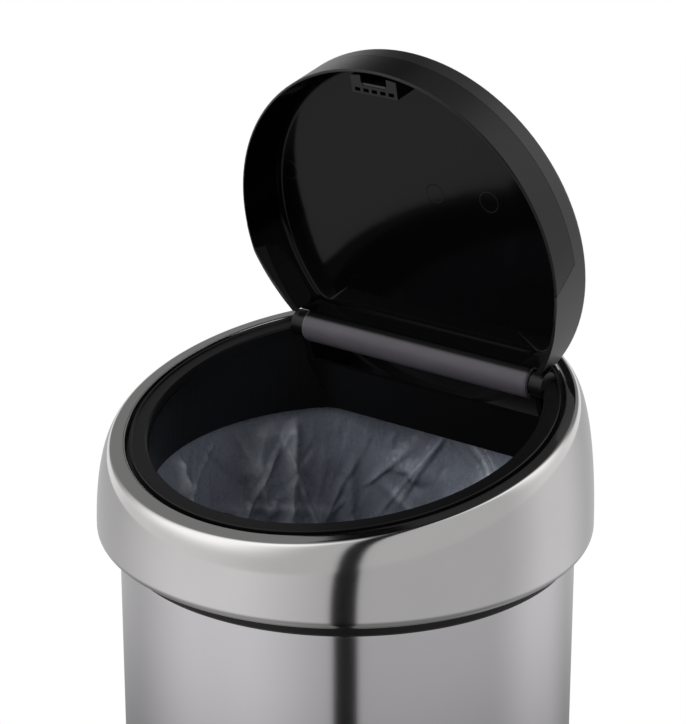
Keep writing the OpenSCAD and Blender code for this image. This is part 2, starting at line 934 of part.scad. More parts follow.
module lid_liner() {
    color(black)
        in_lid()
            difference() {
                union() {
                    difference() {
                        intersection() {
                            liner_body();
                            span_box([-big, -big, -big], [big, chord_y + chord_wall, big]);
                        }
                        // outside the seam the cover takes over
                        difference() {
                            ring_solid(cover_in_r - snap_fit, big / 2, -big / 2, big / 2);
                            liner_side(0);
                        }
                        rim_ramp();
                    }
                    // end wall that joins the panel to the barrel
                    intersection() {
                        span_box([-barrel_len / 2, chord_y, 0], [barrel_len / 2, chord_y + chord_wall, cover_in_z]);
                        cylinder(r = cover_in_r - 0.1, h = big, center = true);
                    }
                    intersection() {
                        span_box([-barrel_len / 2, chord_y, cover_in_z - 3],
                                 [barrel_len / 2, hinge_back + 2, cover_in_z]);
                        cylinder(r = cover_in_r - 0.1, h = big, center = true);
                    }
                    translate([0, hinge_back, 0])
                        barrel();
                    // webs that carry the barrel
                    for (x = [-30, -10, 10, 30])
                        span_box([x - 0.8, chord_y + 0.5, 0], [x + 0.8, hinge_back + 2, cover_in_z - 1]);
                    latch_block();
                }
                ear_notches();
                // bores for the pins and pockets for the springs
                translate([0, hinge_back, 0])
                    for (side = [-1, 1]) {
                        bar_x(pin_r + pin_fit, side > 0 ? pin_end - pin_len - 1 : -big / 4,
                              side > 0 ? big / 4 : pin_len - pin_end + 1);
                        bar_x(pocket_r, side > 0 ? barrel_len / 2 - pocket_len : -big / 4,
                              side > 0 ? big / 4 : pocket_len - barrel_len / 2);
                    }
            }
}

module latch_strike() {
    color(soft_black)
        in_lid()
            difference() {
                span_box([-tongue_w / 2 + 0.05, -cell_back + 0.05, rim_z + 0.4],
                         [tongue_w / 2 - 0.05, -tongue_back - 0.05, panel_z - 4.1]);
                // window for the latch's claw
                span_box([-eye_w / 2, -cell_back - 1, rim_z + 1.4],
                         [eye_w / 2, -tongue_back + 1, rim_z + 1.4 + eye_h]);
            }
}

// ------------------------------------------------------ bucket and bag

module inner_bucket() {
    foot_r = bucket_out_r - bucket_draft;
    color(soft_black)
        rotate_extrude()
            union() {
                polygon([
                    [0, bucket_floor + 1.5],
                    [foot_r - 9, bucket_floor + 1.5],
                    [foot_r - 7, bucket_floor],
                    [foot_r - 2, bucket_floor],
                    [foot_r, bucket_floor + 2],
                    [bucket_out_r, bucket_top - bead_r],
                    [bucket_in_r, bucket_top - bead_r],
                    [foot_r - bucket_wall, bucket_floor + 3.2],
                    [foot_r - 6.3, bucket_floor + 1.5 + bucket_wall],
                    [0, bucket_floor + 1.5 + bucket_wall]
                ]);
                translate([bucket_r - bead_r, bucket_top - bead_r])
                    circle(r = bead_r, $fn = 32);
                polygon([
                    [bucket_in_r, bucket_top - 2 * bead_r],
                    [bucket_r - bead_r, bucket_top - 2 * bead_r],
                    [bucket_r - bead_r, bucket_top],
                    [bucket_in_r + 0.5, bucket_top],
                    [bucket_in_r, bucket_top - 0.5]
                ]);
            }
}

module bin_bag() {
    foot_r = bucket_out_r - bucket_draft - bucket_wall - 3;
    inside_r = bucket_in_r - bag_fit;
    outside_r = bucket_r + bag_fit;
    over_z = bucket_top + bag_fit;
    color([0.55, 0.58, 0.62])
        rotate_extrude()
            polygon([
                [0, bucket_floor + 4],
                [foot_r - 6, bucket_floor + 4],
                [foot_r, bucket_floor + 10],
                [inside_r - bag_slack, body_h / 2],
                [inside_r, bucket_top - 10],
                [inside_r, over_z],
                [outside_r, over_z],
                [outside_r, bucket_top - bag_fold],
                [outside_r + bag_film, bucket_top - bag_fold],
                [outside_r + bag_film, over_z + bag_film],
                [inside_r - bag_film, over_z + bag_film],
                [inside_r - bag_film, bucket_top - 10],
                [inside_r - bag_slack - bag_film, body_h / 2],
                [foot_r - bag_film, bucket_floor + 10],
                [foot_r - 6 - bag_film, bucket_floor + 4 + bag_film],
                [0, bucket_floor + 4 + bag_film]
            ]);
}

body_shell();
base_plate();
base_ring();
non_slip_ring();
rim_ring();
top_frame();
collar();
hinge_pin_left();
hinge_pin_right();
lid_spring_left();
lid_spring_right();
latch_housing();
latch_spring();
latch_screws();
latch_plunger();
lid_cap();
lid_liner();
latch_strike();
inner_bucket();
bin_bag();
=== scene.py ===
"""Looks of the countertop touch bin: satin body, polished wedge ring, black touch lid and film bag."""

import math

import bmesh
import bpy
import numpy as np
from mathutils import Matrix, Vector


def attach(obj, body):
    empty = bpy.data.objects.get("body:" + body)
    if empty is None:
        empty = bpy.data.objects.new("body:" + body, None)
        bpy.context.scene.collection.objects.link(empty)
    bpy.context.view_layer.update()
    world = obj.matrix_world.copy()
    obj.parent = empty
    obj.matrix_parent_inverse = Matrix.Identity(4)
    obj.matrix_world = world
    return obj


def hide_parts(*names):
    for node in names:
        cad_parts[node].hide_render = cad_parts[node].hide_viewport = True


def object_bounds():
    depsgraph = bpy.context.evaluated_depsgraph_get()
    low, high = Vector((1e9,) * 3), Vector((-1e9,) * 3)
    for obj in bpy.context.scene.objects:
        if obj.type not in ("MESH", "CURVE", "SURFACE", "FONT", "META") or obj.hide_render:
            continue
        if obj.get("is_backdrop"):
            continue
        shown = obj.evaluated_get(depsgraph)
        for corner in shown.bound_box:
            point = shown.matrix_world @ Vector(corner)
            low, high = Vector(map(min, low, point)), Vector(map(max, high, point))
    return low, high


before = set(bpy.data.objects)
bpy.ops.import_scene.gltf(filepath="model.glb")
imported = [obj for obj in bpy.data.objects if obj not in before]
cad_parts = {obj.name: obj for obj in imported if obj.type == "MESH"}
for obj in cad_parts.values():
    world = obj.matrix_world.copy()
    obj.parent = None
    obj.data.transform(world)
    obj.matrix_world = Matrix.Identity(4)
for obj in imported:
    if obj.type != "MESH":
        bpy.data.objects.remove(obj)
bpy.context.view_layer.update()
scene = bpy.context.scene


# ---------------------------------------------------------------- steel body
# The bin's upright wall: a tube of thin stainless sheet, brushed upright and left satin.
# Its top edge is rolled inwards to a hem, and its foot is turned in to carry the floor plate.

BODY_R = 77.0
BODY_TOP = 200.0
BODY_FOOT = 3.0
BODY_STEPS = 240
FOOT_TURN_IN = 4.0
FOOT_BEND = 0.8
HEM_R = 0.3
HEM_ROLL = 0.5
HEM_IN = 1.2
SHEET = 0.8
MM = 0.001


def spun(name, profile):
    """A piece turned on the lathe: the profile's (radius, height) points in mm, swept round."""
    around = np.linspace(0, 2 * math.pi, BODY_STEPS, endpoint=False)
    rows = [[(r * math.sin(a), -r * math.cos(a), z) for r, z in profile] for a in around]
    return woven(name, rows, True, True, 35)


def woven(name, rows, loop_rows, loop_columns, sharp):
    """A skin over rows of points in mm. Rows and columns close on themselves where asked."""
    rows = np.array(rows, float)
    n, m = rows.shape[:2]
    faces = []
    for i in range(n if loop_rows else n - 1):
        for j in range(m if loop_columns else m - 1):
            k, l = (i + 1) % n, (j + 1) % m
            faces.append((i * m + j, k * m + j, k * m + l, i * m + l))
    mesh = bpy.data.meshes.new(name)
    mesh.from_pydata([tuple(p) for p in rows.reshape(-1, 3) * MM], [], faces)
    return placed(name, mesh, sharp)


def placed(name, mesh, sharp):
    """Links a mesh to the scene as a smooth-shaded piece with its faces turned outwards."""
    worker = bmesh.new()
    worker.from_mesh(mesh)
    bmesh.ops.remove_doubles(worker, verts=worker.verts, dist=1e-7)
    bmesh.ops.recalc_face_normals(worker, faces=worker.faces)
    worker.to_mesh(mesh)
    worker.free()
    mesh.shade_smooth()
    mesh.set_sharp_from_angle(angle=math.radians(sharp))
    piece = bpy.data.objects.new(name, mesh)
    scene.collection.objects.link(piece)
    return piece


def bow(centre, radius, start, stop, steps):
    """Points of an arc in a profile, angles in degrees from the +radius direction."""
    return [
        (
            centre[0] + radius * math.cos(math.radians(start + (stop - start) * i / steps)),
            centre[1] + radius * math.sin(math.radians(start + (stop - start) * i / steps)),
        )
        for i in range(steps + 1)
    ]


class Field:
    """A value on a surface. Sums and products written with it become Math nodes."""

    def __init__(self, finish, socket):
        self.finish = finish
        self.socket = socket

    def _math(self, operation, first, second=0.0):
        return self.finish.node("ShaderNodeMath", {"operation": operation}, {0: first, 1: second})

    def __add__(self, other):
        return self._math("ADD", self, other)

    __radd__ = __add__

    def __sub__(self, other):
        return self._math("SUBTRACT", self, other)

    def __rsub__(self, other):
        return self._math("SUBTRACT", other, self)

    def __mul__(self, other):
        return self._math("MULTIPLY", self, other)

    __rmul__ = __mul__

    def __truediv__(self, other):
        return self._math("DIVIDE", self, other)

    def size(self):
        return self._math("ABSOLUTE", self)

    def most(self, other):
        return self._math("MAXIMUM", self, other)

    def root(self):
        return self._math("SQRT", self)

    def turn_to(self, other):
        return self._math("ARCTAN2", self, other)


class Finish:
    """A surface finish: a material whose nodes are added one by one."""

    def __init__(self, name, maker=None):
        self.material = maker or bpy.data.materials.new(name)
        self.material.use_nodes = True
        self.tree = self.material.node_tree
        self.tree.nodes.clear()

    def node(self, kind, settings, sockets, output=0):
        """One node of this kind: its settings are set first, then its sockets by value or link."""
        made = self.tree.nodes.new(kind)
        for key, value in settings.items():
            setattr(made, key, value)
        for key, value in sockets.items():
            socket = self._socket(made.inputs, key)
            if isinstance(value, Field):
                self.tree.links.new(value.socket, socket)
            elif isinstance(value, tuple) and len(value) == 3 and socket.type == "RGBA":
                socket.default_value = (*value, 1.0)
            else:
                socket.default_value = value
        return Field(self, self._socket(made.outputs, output))

    def _socket(self, sockets, key):
        if isinstance(key, int):
            return sockets[key]
        for socket in sockets:
            if socket.identifier == key or socket.name == key:
                return socket
        raise KeyError(key)

    def place(self):
        """The point on the piece, in mm of the bin's own frame: x, y and z."""
        point = self.node("ShaderNodeTexCoord", {}, {}, "Object")
        apart = self.node("ShaderNodeSeparateXYZ", {}, {"Vector": point}, "X")
        outputs = apart.socket.node.outputs
        return tuple(Field(self, outputs[k]) * 1000.0 for k in ("X", "Y", "Z"))

    def vector(self, x, y, z):
        return self.node("ShaderNodeCombineXYZ", {}, {"X": x, "Y": y, "Z": z}, "Vector")

    def noise(self, where, scale, detail=2.0, roughness=0.5, seed=0.0):
        """Cloudy noise from 0 to 1."""
        return self.node(
            "ShaderNodeTexNoise",
            {"noise_dimensions": "4D"},
            {"Vector": where, "W": seed, "Scale": scale, "Detail": detail, "Roughness": roughness},
            0,
        )

    def step(self, value, low, high):
        """0 below low and 1 above high, with a soft change between."""
        return self.node(
            "ShaderNodeMapRange",
            {"interpolation_type": "SMOOTHSTEP", "clamp": True},
            {"Value": value, "From Min": low, "From Max": high, "To Min": 0.0, "To Max": 1.0},
            "Result",
        )

    def blend(self, share, first, second):
        """Two colours mixed by share."""
        return self.node(
            "ShaderNodeMix",
            {"data_type": "RGBA", "blend_type": "MIX"},
            {"Factor_Float": share, "A_Color": first, "B_Color": second},
            "Result_Color",
        )

    def relief(self, height, depth, under=None):
        """A bump of this depth in mm where height is 1."""
        sockets = {"Height": height, "Strength": 1.0, "Distance": depth * MM}
        if under is not None:
            sockets["Normal"] = under
        return self.node("ShaderNodeBump", {}, sockets, "Normal")

    def surface(self, **sockets):
        """Ends the finish in a Principled surface. Names use _ for a space."""
        words = {k.replace("_", " "): v for k, v in sockets.items()}
        return self.end(self.node("ShaderNodeBsdfPrincipled", {}, words, "BSDF"))

    def end(self, shader, kind="ShaderNodeOutputMaterial"):
        """Joins the last shader to the output."""
        out = self.tree.nodes.new(kind)
        self.tree.links.new(shader.socket, out.inputs["Surface"])
        return self.material


def dress(piece, finish, body=None):
    """Gives a piece its finish, and the CAD body it belongs to."""
    piece.data.materials.clear()
    piece.data.materials.append(finish)
    if body:
        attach(piece, body)
    return piece


body_profile = (
    [(BODY_R - FOOT_TURN_IN, BODY_FOOT), (BODY_R - 1, BODY_FOOT)]
    + bow((BODY_R - FOOT_BEND, BODY_FOOT + FOOT_BEND), FOOT_BEND, -90, 0, 4)
    + [(BODY_R, z) for z in np.linspace(BODY_FOOT + 3, BODY_TOP - 3, 24)]
    + bow((BODY_R - HEM_R, BODY_TOP - HEM_R), HEM_R, 0, 90, 4)
    + bow((BODY_R - HEM_IN, BODY_TOP - HEM_ROLL), HEM_ROLL, 90, 180, 4)
    + bow((BODY_R - HEM_IN, BODY_TOP - 1.6), HEM_ROLL, 180, 260, 4)
    + [(BODY_R - SHEET, BODY_TOP - 2.4), (BODY_R - SHEET, BODY_FOOT + 1.2)]
    + [(BODY_R - FOOT_TURN_IN, BODY_FOOT + SHEET)]
)

brushed = Finish("brushed_body_steel")
x, y, z = brushed.place()
turn = x.turn_to(y) * BODY_R
grain = brushed.noise(brushed.vector(turn, z * 0.012, 0.0), 2.6, 4.0, 0.65)
fine_grain = brushed.noise(brushed.vector(turn, z * 0.05, 4.0), 9.0, 2.0, 0.6)
cloud = brushed.noise(brushed.vector(turn * 0.02, z * 0.02, 9.0), 1.0, 2.0)
brushed_steel = brushed.surface(
    Base_Color=brushed.blend(cloud, (0.6, 0.591, 0.605), (0.65, 0.641, 0.65)),
    Metallic=1.0,
    Roughness=0.08 + grain * 0.06 + fine_grain * 0.03,
    Normal=brushed.relief(grain + fine_grain * 0.5, 0.0025),
)

body = dress(spun("body_wall", body_profile), brushed_steel, "body")
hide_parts("body_shell")


# --------------------------------------------------------------- foot pieces
# Under the wall a black moulded ring keeps the steel off the counter. A soft ring is let into it.
# A pressed steel plate closes the floor above them. These three are the plain lathe parts of the frame.

moulded = Finish("satin_black_moulding")
x, y, z = moulded.place()
spark = moulded.noise(moulded.vector(x, y, z), 5.0, 3.0, 0.6)
drift = moulded.noise(moulded.vector(x, y, z), 0.06, 1.0, 0.5, 3.0)
satin_black = moulded.surface(
    Base_Color=moulded.blend(drift, (0.0022, 0.0022, 0.0024), (0.0036, 0.0035, 0.0038)),
    Roughness=0.3 + spark * 0.1,
    Specular_IOR_Level=0.3,
    Normal=moulded.relief(spark, 0.006),
)

rubber = Finish("soft_grip_ring")
x, y, z = rubber.place()
pores = rubber.noise(rubber.vector(x, y, z), 3.0, 3.0)
grip_rubber = rubber.surface(
    Base_Color=rubber.blend(pores, (0.016, 0.016, 0.016), (0.028, 0.028, 0.028)),
    Roughness=0.78,
    Normal=rubber.relief(pores, 0.03),
)

pressed = Finish("pressed_plate_steel")
x, y, z = pressed.place()
rolled = pressed.noise(pressed.vector(x * 0.05, y, z), 1.4, 3.0)
plate_steel = pressed.surface(
    Base_Color=(0.55, 0.55, 0.56),
    Metallic=1.0,
    Roughness=0.28 + rolled * 0.12,
    Normal=pressed.relief(rolled, 0.004),
)

dress(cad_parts["base_plate"], plate_steel)
dress(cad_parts["base_ring"], satin_black)
dress(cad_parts["non_slip_ring"], grip_rubber)


# ------------------------------------------------------------------ rim ring
# The bright wedge ring round the mouth is one drawn sheet of stainless steel, polished by machine.
# Its slanted face turns down to a lip inside. Outside it swells to an upright wall, rolled in at its foot.

TILT = math.radians(11.3)
OPENING_SHIFT = 2
OPENING_Y = -OPENING_SHIFT * math.cos(TILT)
OPENING_Z = 246.5 - OPENING_SHIFT * math.sin(TILT)
LIP_R = 73.8
FACE_R = 77.8
RING_R = 83.8
RING_FOOT = 205.0
WALL_SHIFT = 1.2
ROLL = 3.5
ROLL_IN = 3.6
LIP_BEND = 0.7


def slanted(x, y, z):
    """From the slanted frame of the opening to the bin's frame, in mm."""
    return np.array(
        [
            x,
            OPENING_Y + y * math.cos(TILT) - z * math.sin(TILT),
            OPENING_Z + y * math.sin(TILT) + z * math.cos(TILT),
        ]
    )


def ring_section(a):
    """One cut through the ring's sheet at the angle a from the front: lip, face, wall, roll and inside."""
    sin_a, cos_a = math.sin(a), math.cos(a)

    def on_face(r, height, shift=0.0):
        return slanted(r * sin_a, -r * cos_a - shift, height)

    def on_wall(r, height):
        return np.array([r * sin_a, -r * cos_a - WALL_SHIFT, height])

    def swelling(top, low, share):
        s, c = math.sin(share * math.pi / 2), math.cos(share * math.pi / 2)
        across = top[:2] + (low[:2] - top[:2]) * s
        return np.array([*across, low[2] + (top[2] - low[2]) * c])

    def rolling(low, foot, share):
        s, c = math.sin(share * math.pi / 2), math.cos(share * math.pi / 2)
        across = foot[:2] + (low[:2] - foot[:2]) * c
        return np.array([*across, low[2] + (foot[2] - low[2]) * s])

    half_shift = WALL_SHIFT / 2
    bend_r = LIP_R + LIP_BEND
    top = on_face(FACE_R, 0, half_shift)
    top_in = on_face(FACE_R - 0.2, -SHEET, half_shift)
    low = on_wall(RING_R, RING_FOOT + ROLL)
    low_in = on_wall(RING_R - SHEET, RING_FOOT + ROLL)
    foot = on_wall(RING_R - ROLL_IN, RING_FOOT)
    foot_in = on_wall(RING_R - ROLL_IN, RING_FOOT + SHEET)
    lip = [on_face(LIP_R + SHEET, -2), on_face(LIP_R + 0.1, -2), on_face(LIP_R, -1.9), on_face(LIP_R, -0.8)]
    lip += [on_face(r, h) for r, h in bow((bend_r, -LIP_BEND), LIP_BEND, 165, 90, 5)]
    face = [on_face(bend_r + (FACE_R - bend_r) * t, 0, half_shift * t) for t in (0.25, 0.5, 0.75)]
    wall = [swelling(top, low, t) for t in np.linspace(0, 1, 34)]
    roll = [rolling(low, foot, t) for t in np.linspace(0, 1, 12)[1:]]
    inside = [rolling(low_in, foot_in, t) for t in np.linspace(1, 0, 6)]
    inside += [swelling(top_in, low_in, t) for t in np.linspace(1, 0, 12)[1:]]
    return lip + face + wall + roll + inside + [on_face(LIP_R + SHEET, -SHEET)]


polish = Finish("polished_ring_steel")
x, y, z = polish.place()
turn = x.turn_to(y) * RING_R
lines = polish.noise(polish.vector(turn * 0.02, z, 0.0), 3.0, 4.0, 0.65)
wipe = polish.noise(polish.vector(x, y, z), 0.045, 3.0, 0.55, 5.0)
speck = polish.noise(polish.vector(x, y, z), 2.2, 3.0, 0.6, 1.0)
ring_steel = polish.surface(
    Base_Color=polish.blend(wipe, (0.63, 0.622, 0.618), (0.69, 0.682, 0.676)),
    Metallic=1.0,
    Roughness=0.06 + lines * 0.04 + wipe * 0.04 + speck * 0.02,
    Normal=polish.relief(lines + wipe * 2.0, 0.0015),
)

sections = [ring_section(a) for a in np.linspace(0, 2 * math.pi, 288, endpoint=False)]
ring = dress(woven("rim_ring_skin", sections, True, True, 50), ring_steel, "top_unit")
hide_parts("rim_ring")


# ---------------------------------------------------------- frame and collar
# A black moulding lines the mouth: a flat band beside the steel lip, and a skirt down into the bucket.
# The collar under the ring is the second moulding. It plugs into the body and shows as the dark band.

dress(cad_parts["top_frame"], satin_black)
dress(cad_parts["collar"], satin_black)


# --------------------------------------------------------- latch at the front
# A push-push latch stands under the band's front edge: a housing on two screws, and a sprung slider.
# The screws, the slider's spring and the hinge's pins and springs are bright steel wire and bar.

STEEL_PARTS = ("latch_spring", "latch_screws", "hinge_pin_left", "hinge_pin_right")
STEEL_PARTS += ("lid_spring_left", "lid_spring_right")

drawn = Finish("drawn_steel")
x, y, z = drawn.place()
streak = drawn.noise(drawn.vector(x * 0.1, y, z), 6.0, 2.0)
drawn_steel = drawn.surface(
    Base_Color=(0.5, 0.5, 0.51),
    Metallic=1.0,
    Roughness=0.24 + streak * 0.14,
    Normal=drawn.relief(streak, 0.003),
)
for part in ("latch_housing", "latch_plunger"):
    dress(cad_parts[part], satin_black)
for part in STEEL_PARTS:
    dress(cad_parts[part], drawn_steel)


# ----------------------------------------------------------------- touch lid
# Two black mouldings snapped together: a satin cover, and a liner with a high-gloss underside.
# The liner's recess is D-shaped, with a straight end wall beside the hinge barrel and ejector marks on it.

HINGE = 43.65
LID_R = 64.65
RIM_Z = -7.0
PANEL_Z = 8.6
GLOSS_Z = PANEL_Z - 0.1
CHORD = 37.45
GLOSS_CHORD = CHORD - 0.1
FLOOR_CHORD = CHORD - 0.5
FLOOR_R = 58.55
FLOOR_CORNER = 4.6
FILLET = 2.4
RECESS_WALL = ((0.0, 63.75, 3.0), (0.3, 62.91, 4.0), (0.6, 62.07, 5.5), (0.84, 61.4, 6.9))
MARKS = ((-30, -28), (5, -28), (37.5, -28), (8, 15), (-55, 12), (-31, 50), (30, 16))
MARK_R = 3.6
BARREL_INNER = 5.95
BARREL_OUTER = 6.3
BARREL_EDGE = math.radians(53.54)
ROUND_STEPS = 150
CORNER_STEPS = 14
CHORD_STEPS = 24


def on_lid(x, y, z):
    """From the closed lid's frame to where the open lid stands, in mm."""
    return slanted(x, HINGE + z, HINGE - y)


def rim_height(y):
    """The rim is cut shorter towards the hinge, to clear the frame."""
    return RIM_Z + max(0.0, y - 12.0) * math.tan(math.radians(8.8))


def in_slant(y, z):
    """From the bin's frame to the slanted frame of the opening, in mm: back along it, and up from it."""
    y, z = y - OPENING_Y, z - OPENING_Z
    return y * math.cos(TILT) + z * math.sin(TILT), z * math.cos(TILT) - y * math.sin(TILT)


def d_outline(radius, chord, corner):
    """A circle cut straight at y = chord, with rounded corners. It starts at the left corner's chord end."""
    cy = chord - corner
    cx = math.sqrt((radius - corner) ** 2 - cy * cy)
    lean = math.atan2(cy, cx)
    turns = [math.pi / 2 + (math.pi / 2 - lean) * i / CORNER_STEPS for i in range(CORNER_STEPS)]
    points = [(-cx + corner * math.cos(t), cy + corner * math.sin(t)) for t in turns]
    for i in range(ROUND_STEPS):
        t = math.pi - lean + (math.pi + 2 * lean) * i / ROUND_STEPS
        points.append((radius * math.cos(t), radius * math.sin(t)))
    turns = [lean + (math.pi / 2 - lean) * i / CORNER_STEPS for i in range(CORNER_STEPS)]
    points += [(cx + corner * math.cos(t), cy + corner * math.sin(t)) for t in turns]
    points += [(cx - 2 * cx * i / CHORD_STEPS, chord) for i in range(CHORD_STEPS)]
    return points


gloss = Finish("gloss_black_underside")
x, y, z = gloss.place()
panel_z = OPENING_Z + (HINGE + PANEL_Z) * math.sin(TILT)
along = (z - panel_z) / math.cos(TILT) - HINGE
rings = None
for mark_x, mark_s in MARKS:
    away = ((x - mark_x) * (x - mark_x) + (along - mark_s) * (along - mark_s)).root()
    line = 1.0 - gloss.step((away - MARK_R).size(), 0.08, 0.3)
    rings = line if rings is None else rings.most(line)
ripple = gloss.noise(gloss.vector(x, y, z), 0.05, 2.0, 0.5, 2.0)
gloss_black = gloss.surface(
    Base_Color=gloss.blend(ripple, (0.001, 0.001, 0.0011), (0.0016, 0.0016, 0.0018)),
    Roughness=0.08 + ripple * 0.04 + rings * 0.14,
    Specular_IOR_Level=0.2,
    Normal=gloss.relief(rings, 0.012, gloss.relief(ripple, 0.05)),
)

recess = []
for share, radius, corner in RECESS_WALL:
    row = []
    for px, py in d_outline(radius, GLOSS_CHORD, corner):
        near_chord = min(1.0, max(0.0, (py - CHORD + 16) / 12))
        low = rim_height(py) * (1 - near_chord) - 1.0 * near_chord
        row.append(on_lid(px, py, low + 0.3 + (PANEL_Z - 2.6 - low) * share))
    recess.append(row)
for t in np.linspace(0, math.pi / 2, 9):
    out, drop = FILLET * math.cos(t), FILLET * (1 - math.sin(t))
    outline = d_outline(FLOOR_R + out, max(CHORD - 2.5 + out, FLOOR_CHORD), FLOOR_CORNER + out)
    recess.append([on_lid(px, py, GLOSS_Z - drop) for px, py in outline])
for shrink in (0.75, 0.5, 0.25, 0.0):
    outline = d_outline(FLOOR_R, FLOOR_CHORD, FLOOR_CORNER)
    recess.append([on_lid(px * shrink, py * shrink, GLOSS_Z) for px, py in outline])
dress(woven("lid_underside", recess, False, True, 60), gloss_black, "lid")

etched = Finish("etched_liner")
x, y, z = etched.place()
flat, up = in_slant(y, z)
back = flat - HINGE
# Painted highlight: the front and lower side of the hinge barrel gets a lilac-grey colour that stands in for
# the soft box's reflection there. The side facing up and back is left black.
barrel = 1.0 - etched.step((back * back + up * up).root(), BARREL_INNER, BARREL_OUTER)
upper = back * math.cos(BARREL_EDGE) + up * math.sin(BARREL_EDGE)
barrel = barrel * (1.0 - etched.step(upper, 1.6, 2.9))
tooth = etched.noise(etched.vector(x, y, z), 5.0, 3.0, 0.6)
sheen_mottle = etched.noise(etched.vector(x * 0.2, y, z), 0.35, 3.0, 0.6, 6.0)
# The painted highlight's colour on the barrel, mottled by noise.
barrel_sheen_colour = etched.blend(sheen_mottle, (0.05, 0.046, 0.054), (0.082, 0.075, 0.088))
etched_black = etched.surface(
    Base_Color=etched.blend(barrel, (0.0026, 0.0026, 0.0028), barrel_sheen_colour),
    Roughness=0.28 + tooth * 0.1 + barrel * 0.1,
    Specular_IOR_Level=0.35,
    Normal=etched.relief(tooth, 0.006),
)

blackened = Finish("blackened_strike")
x, y, z = blackened.place()
mill = blackened.noise(blackened.vector(x * 0.2, y, z), 2.5, 3.0)
strike_steel = blackened.surface(
    Base_Color=blackened.blend(mill, (0.05, 0.05, 0.055), (0.09, 0.09, 0.095)),
    Metallic=1.0,
    Roughness=0.3 + mill * 0.12,
)

cover = Finish("satin_cover")
x, y, z = cover.place()
tooth = cover.noise(cover.vector(x, y, z), 4.0, 3.0, 0.6)
haze = cover.noise(cover.vector(x, y, z), 0.05, 2.0, 0.5, 5.0)
cover_black = cover.surface(
    Base_Color=cover.blend(haze, (0.007, 0.0068, 0.0075), (0.0105, 0.01, 0.0115)),
    Roughness=0.3 + tooth * 0.12,
    Specular_IOR_Level=0.6,
    Normal=cover.relief(tooth, 0.007),
)
dress(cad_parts["lid_cap"], cover_black)
dress(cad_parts["lid_liner"], etched_black)
dress(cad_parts["latch_strike"], strike_steel)


# -------------------------------------------------------------- inner bucket
# A loose bucket of grey-black polypropylene stands on the floor plate. Its rolled rim carries the bag.

tub = Finish("bucket_polypropylene")
x, y, z = tub.place()
flow = tub.noise(tub.vector(x, y, z * 0.3), 0.2, 3.0)
bucket_black = tub.surface(
    Base_Color=tub.blend(flow, (0.022, 0.022, 0.024), (0.03, 0.03, 0.032)),
    Roughness=0.5,
    Normal=tub.relief(flow, 0.02),
)
dress(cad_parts["inner_bucket"], bucket_black)


# ------------------------------------------------------------------ film bag
# A thin blue-grey film bag hangs in the bucket, with its top folded out over the rim.
# It is a welded tube with more film than the bucket's wall needs, so it crumples as it hangs.

WALL_TOP = 68.9
WALL_LOW = 64.3
BAG_RIM = 217.0
BAG_FLOOR = 12.0
TAPER = 200
CUFF_R = 72.45
CUFF_LOW = 198.0
CUFF_TOP = 219.4
FOLD_R = 1.7
FOLD_Z = 219.9
FILM_R = 68.0
AROUND = 300
SETTLE_FRAMES = 22


def wall_at(fall):
    """Radius of the bucket's tapered wall, this far below the rim. All in mm."""
    return WALL_TOP - (WALL_TOP - WALL_LOW) * fall / TAPER


profile = [(CUFF_R, h) for h in np.linspace(CUFF_LOW, CUFF_TOP, 8)]
profile += bow((CUFF_R - FOLD_R, FOLD_Z), FOLD_R, 20, 160, 6)
rim_rows = len(profile)
profile += [(wall_at(BAG_RIM - h), h) for h in np.linspace(BAG_RIM, 15, 110)]
wall_rows = len(profile)
profile += [(r, BAG_FLOOR) for r in np.linspace(62, 3, 22)]


def creases(turn, fall, seed, count, long, wide, high, lean):
    """Straight folds scattered over the film, in mm. Turn and fall are mm along it. Pairs are ranges."""
    rng = np.random.default_rng(seed)
    whole = 2 * math.pi * WALL_TOP
    off = np.zeros_like(turn)
    for n in range(count):
        at_turn, at_fall, tilt = rng.uniform(0, whole), rng.uniform(-6, 195), rng.normal(0, lean)
        reach, half, crest = rng.uniform(*long), rng.uniform(*wide), rng.uniform(*high)
        x = (turn - at_turn + whole / 2) % whole - whole / 2
        y = fall - at_fall
        along = x * math.sin(tilt) + y * math.cos(tilt)
        aside = x * math.cos(tilt) - y * math.sin(tilt)
        slope = np.where(aside > 0, half, half * rng.uniform(0.3, 1.0))
        ridge = np.clip(1 - np.abs(aside) / slope, 0, 1) * np.clip(1 - (along / reach) ** 2, 0, 1)
        off += crest * ridge * (-0.8 if n % 4 == 0 else 1)
    return off


def waves(turn, fall):
    """The slow in-and-out of film that is wider than the wall it hangs on."""
    rng = np.random.default_rng(5)
    whole = 2 * math.pi * WALL_TOP
    off = np.zeros_like(turn)
    for size, wave in ((1.0, 74.0), (0.6, 38.0)):
        for _ in range(7):
            lean, phase = rng.uniform(-1.0, 1.0), rng.uniform(0, 2 * math.pi)
            across = round(whole / wave * rng.uniform(0.6, 1.4))
            off += size * np.sin(2 * math.pi * (across * turn / whole + lean * fall / wave) + phase)
    return off


rows = np.zeros((AROUND, len(profile), 3))
for i in range(AROUND):
    a = 2 * math.pi * i / AROUND
    rows[i] = [(r * math.sin(a), -r * math.cos(a), h) for r, h in profile]
turn = np.arange(AROUND) * 2 * math.pi * WALL_TOP / AROUND
turn = np.repeat(turn, wall_rows - rim_rows).reshape(AROUND, -1)
fall = BAG_RIM - rows[:, rim_rows:wall_rows, 2]
off = 3.4 + waves(turn, fall) + creases(turn, fall, 23, 150, (18, 75), (4, 15), (0.7, 3.6), 0.8)
off = np.clip(off, 0.25, None) * np.clip(fall / 16, 0.0, 1.0) * np.clip((200 - fall) / 30, 0.2, 1.0)
radius = np.hypot(rows[:, rim_rows:wall_rows, 0], rows[:, rim_rows:wall_rows, 1])
for axis in (0, 1):
    rows[:, rim_rows:wall_rows, axis] *= (radius - off) / radius
bag = woven("film_bag", rows, True, False, 180)


